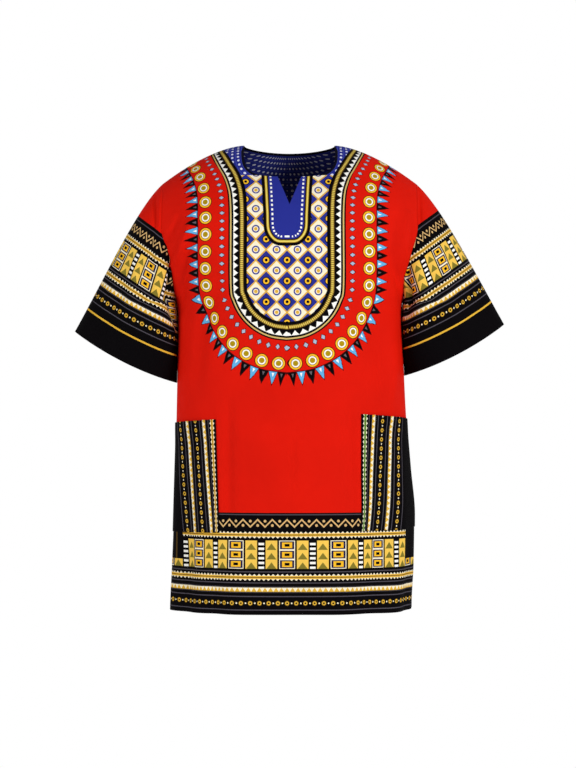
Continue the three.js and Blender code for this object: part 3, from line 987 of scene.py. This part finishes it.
def add_sleeve(name, node, side, lift, tuck, phase):
    count = 2 * PANEL_ROWS["above"]
    angle = np.pi * (np.arange(count) / PANEL_ROWS["above"] - 1)
    top = (1 + np.cos(angle)) / 2
    forward = np.sin(angle)
    flat = np.zeros(count)
    leave = np.stack([side * lerp(tuck, 42, top), flat, lerp(-45, -36, top)], axis=-1)
    start = sleeve_starts(side, leave)
    inner_x = half_width(np.array(side), np.array(CUFF_IN_Z + lift)) + CLOTH + BODY_CLEARANCE
    cuff_z = lerp(CUFF_IN_Z, CUFF_OUT_Z, top) - CUFF_DROOP * forward**2 + lift
    cuff = np.stack([side * lerp(inner_x, CUFF_OUT_X, top), -CUFF_HALF_DEPTH * forward, cuff_z], axis=-1)
    arrive = np.stack([side * lerp(1, 49, top), flat, lerp(-45, -87, top)], axis=-1)
    t = np.linspace(1, 0, SLEEVE_ROWS + 1)[:, None, None]
    grid = (
        (1 - t) ** 3 * start
        + 3 * (1 - t) ** 2 * t * (start + leave)
        + 3 * (1 - t) * t**2 * (cuff - arrive)
        + t**3 * cuff
    )
    # The underarm lies against the trunk's side.
    snug = half_width(np.array(side), grid[..., 2]) + CLOTH + BODY_CLEARANCE
    share = (1 - top) ** 4 * smoothstep(1 - t[..., 0], 0, 0.25) * smoothstep(PIT_Z - grid[..., 2], 0, 5)
    grid[..., 0] = side * lerp(np.abs(grid[..., 0]), snug, share)
    close = lambda values: np.concatenate([values, values[..., :1, :]], axis=-2)
    grid = close(grid)
    angle = np.append(angle, np.pi)
    girth = np.linalg.norm(np.diff(close(cuff), axis=0), axis=-1)
    around = np.concatenate([[0], np.cumsum(girth)])
    around -= around[PANEL_ROWS["above"]]
    along = np.linspace(1, 0, SLEEVE_ROWS + 1)
    if side > 0:
        grid, angle, around = grid[:, ::-1], angle[::-1], around[::-1]
    step = np.linalg.norm(np.diff(grid, axis=0), axis=-1)
    up = np.vstack([np.zeros(count + 1), np.cumsum(step, axis=0)])
    round_way = np.broadcast_to(around, up.shape)
    depth = crease_depth(SLEEVE_CREASES, round_way, up)
    for at, width, deep, end in SLEEVE_FOLDS:
        fade = smoothstep(along, 0, 0.2) * (1 - smoothstep(along, 0.3 * end, end))
        depth += deep * fade[:, None] * np.exp(-(((angle / np.pi - at) / width) ** 2))
    depth *= smoothstep(along, 0, 0.06)[:, None]
    depth[:, [0, -1]] = depth[:, [0, -1]].mean(axis=1, keepdims=True)
    out = grid_normals(np.concatenate([grid[:, -2:-1], grid, grid[:, 1:2]], axis=1))[:, 1:-1]
    grid = grid + out * depth[..., None]
    piece, order = add_grid(name, count, SLEEVE_ROWS)
    set_places(piece, order, grid)
    if side < 0:
        # a tuck takes up some of the cloth behind a slanting line
        behind = smoothstep(round_way - 162 + 0.5 * (up - 176), -1.5, 1.5)
        up = up + TUCK_DEPTH * smoothstep(up, 60, 130) * behind
    set_map(piece, order, "cloth", round_way + phase, up)
    bpy.ops.object.mode_set(mode="EDIT")
    bpy.ops.mesh.select_all(action="SELECT")
    bpy.ops.mesh.remove_doubles(threshold=0.00001)
    bpy.ops.object.mode_set(mode="OBJECT")
    piece.data.materials.append(sleeve_print)
    thicken(piece)
    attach(piece, "root")
    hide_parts(node)


SLEEVE_INK_UP = 221
CUFF_LINE_UP = 44
CUFF_BAND = 52


def paint_sleeve(design):
    """The hem's borders again, over a deep ink band with a gold line."""
    across, up = design.map("cloth")
    design.paint(up < SLEEVE_INK_UP, INK)
    design.paint(up.near(CUFF_LINE_UP, 1.5), GOLD)
    paint_borders(design, across, up - CUFF_BAND)


sleeve_print = printed("sleeve_print", paint_sleeve)
for word, side, lift, tuck, phase in (("left", 1, 12, 0, 0), ("right", -1, 0, -3, 50)):
    add_sleeve(f"sleeve_{word}_cloth", f"sleeve_{word}", side, lift, tuck, phase)

# ---- Pockets ----
# Patch pockets cut with the borders upright, laid on the front and caught in the side seams. The
# top edges are turned in and stitched, and stand a little open.

POCKET_TOP_Z = -456
POCKET_BOTTOM_Z = -642
POCKET_EDGES = {1: (0.3387, 0.376), -1: (0.37, 0.406)}
POCKET_TILT = {1: (-8, 5), -1: (-5, 0)}
POCKET_COLUMNS = 84
POCKET_ROWS = 96
POCKET_GAP = 0.37


def add_pocket(name, node, side, material):
    rise, share = np.meshgrid(
        np.linspace(0, 1, POCKET_ROWS + 1), np.linspace(0, 1, POCKET_COLUMNS + 1), indexing="ij"
    )
    if side < 0:
        share = share[:, ::-1]
    edge = lerp(*POCKET_EDGES[side], rise)
    u = side * lerp(edge, 1, share)
    z = lerp(POCKET_BOTTOM_Z, POCKET_TOP_Z, rise)
    z = z + rise**4 * lerp(*POCKET_TILT[side][::-1], share)
    grid, x, z = shaped(FRONT, FRONT_CREASES, u, (z - PIT_Z) / (PIT_Z - HEM_Z))
    gape = 3 * smoothstep(rise, 0.75, 1) * np.sin(np.pi * np.clip(share, 0, 1)) ** 0.8
    swell = 1.2 * np.sin(np.pi * rise) * np.sin(np.pi * share)
    grid = grid + grid_normals(grid) * (CLOTH + POCKET_GAP + gape + swell)[..., None]
    piece, order = add_grid(name, POCKET_COLUMNS, POCKET_ROWS)
    set_places(piece, order, grid)
    across, up = FRONT.flat(x, z)
    inward = np.abs(across) - np.abs(across).min(axis=1, keepdims=True)
    set_map(piece, order, "cloth", inward + 11 * (1 - rise) * smoothstep(inward, 0, 20), up)
    piece.data.materials.append(material)
    thicken(piece)
    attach(piece, "root")
    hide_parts(node)


# Distances of a pocket's rows from its inner edge.
POCKET_TEETH = 9
POCKET_LINES = (18, 40, 62, 84, 106)
POCKET_RIBBONS = (29, 73)
POCKET_BEADS = (51, 95)
LEAF_GREEN = (96, 150, 60)


def paint_pocket(design, band):
    """Borders turned upright, with a toothed band at the inner edge."""
    inward, up = design.map("cloth")
    design.paint(inward > -50, INK)
    for place in POCKET_LINES:
        design.paint(inward.near(place, 0.8), SLATE)
    paint_teeth(design, up, inward - POCKET_TEETH, band)
    for place in POCKET_RIBBONS:
        paint_ribbon(design, up, inward - place)
    for place in POCKET_BEADS:
        paint_beads(design, up, inward - place)


pocket_prints = {
    -1: printed("pocket_right_print", lambda design: paint_pocket(design, GOLD)),
    1: printed("pocket_left_print", lambda design: paint_pocket(design, LEAF_GREEN)),
}
for side, word in ((1, "left"), (-1, "right")):
    add_pocket(f"pocket_{word}_cloth", f"pocket_{word}", side, pocket_prints[side])

# ---- Floor, light and camera ----
# A white studio: a pale floor at the wearer's feet, an even glow from all round and a soft lamp
# from the front, to the shirt's left.

FLOOR_Z = -1.5

bpy.ops.mesh.primitive_plane_add(size=12, location=(0, 0, FLOOR_Z))
floor = bpy.context.object
floor.name = "floor"
bpy.ops.object.transform_apply()


def studio_white(tree, shader, strength):
    """White to the camera, and light of its own strength to everything else."""
    path = add_node(tree, "ShaderNodeLightPath")
    white = add_node(tree, "ShaderNodeEmission", inputs={"Strength": 1.0})
    mix = add_node(tree, "ShaderNodeMixShader", inputs={0: path.outputs["Is Camera Ray"]})
    tree.links.new(shader.outputs[0], mix.inputs[1])
    tree.links.new(white.outputs[0], mix.inputs[2])
    return mix


backdrop = bpy.data.materials.new("pale_floor")
backdrop.use_nodes = True
backdrop.node_tree.nodes.clear()
pale = add_node(backdrop.node_tree, "ShaderNodeBsdfDiffuse", inputs={"Color": linear((238, 238, 236))})
surface = studio_white(backdrop.node_tree, pale, 1)
out = add_node(backdrop.node_tree, "ShaderNodeOutputMaterial")
backdrop.node_tree.links.new(surface.outputs[0], out.inputs["Surface"])
floor.data.materials.append(backdrop)

world = bpy.data.worlds.new("studio")
bpy.context.scene.world = world
world.use_nodes = True
world.node_tree.nodes.clear()
glow = add_node(world.node_tree, "ShaderNodeBackground", inputs={"Strength": 0.34})
glow.inputs["Color"].default_value = (1, 1, 1, 1)
path = add_node(world.node_tree, "ShaderNodeLightPath")
white = add_node(world.node_tree, "ShaderNodeBackground", inputs={"Strength": 1.0})
white.inputs["Color"].default_value = (1, 1, 1, 1)
mix = add_node(world.node_tree, "ShaderNodeMixShader", inputs={0: path.outputs["Is Camera Ray"]})
world.node_tree.links.new(glow.outputs[0], mix.inputs[1])
world.node_tree.links.new(white.outputs[0], mix.inputs[2])
out = add_node(world.node_tree, "ShaderNodeOutputWorld")
world.node_tree.links.new(mix.outputs[0], out.inputs["Surface"])


def add_lamp(name, place, aim, size, power):
    """A soft square lamp that points at a place."""
    lamp = bpy.data.lights.new(name, "AREA")
    lamp.size = size
    lamp.energy = power
    holder = bpy.data.objects.new(name, lamp)
    bpy.context.collection.objects.link(holder)
    holder.location = place
    holder.rotation_euler = (Vector(aim) - Vector(place)).to_track_quat("-Z", "Y").to_euler()


add_lamp("key_lamp", (2.5, -2.6, 0.5), (0, 0, -0.4), 1.0, 98)
add_lamp("fill_lamp", (-2.8, -1.6, -0.2), (0, 0, -0.4), 1.8, 48)

VIEW_DISTANCE = 4.0
lens = bpy.data.cameras.new("camera")
lens.lens = 111.6
camera = bpy.data.objects.new("camera", lens)
bpy.context.collection.objects.link(camera)
camera.location = (-0.0025, -VIEW_DISTANCE, -0.40)
camera.rotation_euler = (np.pi / 2, 0, 0)
bpy.context.scene.camera = camera
bpy.context.scene.view_settings.view_transform = "Standard"
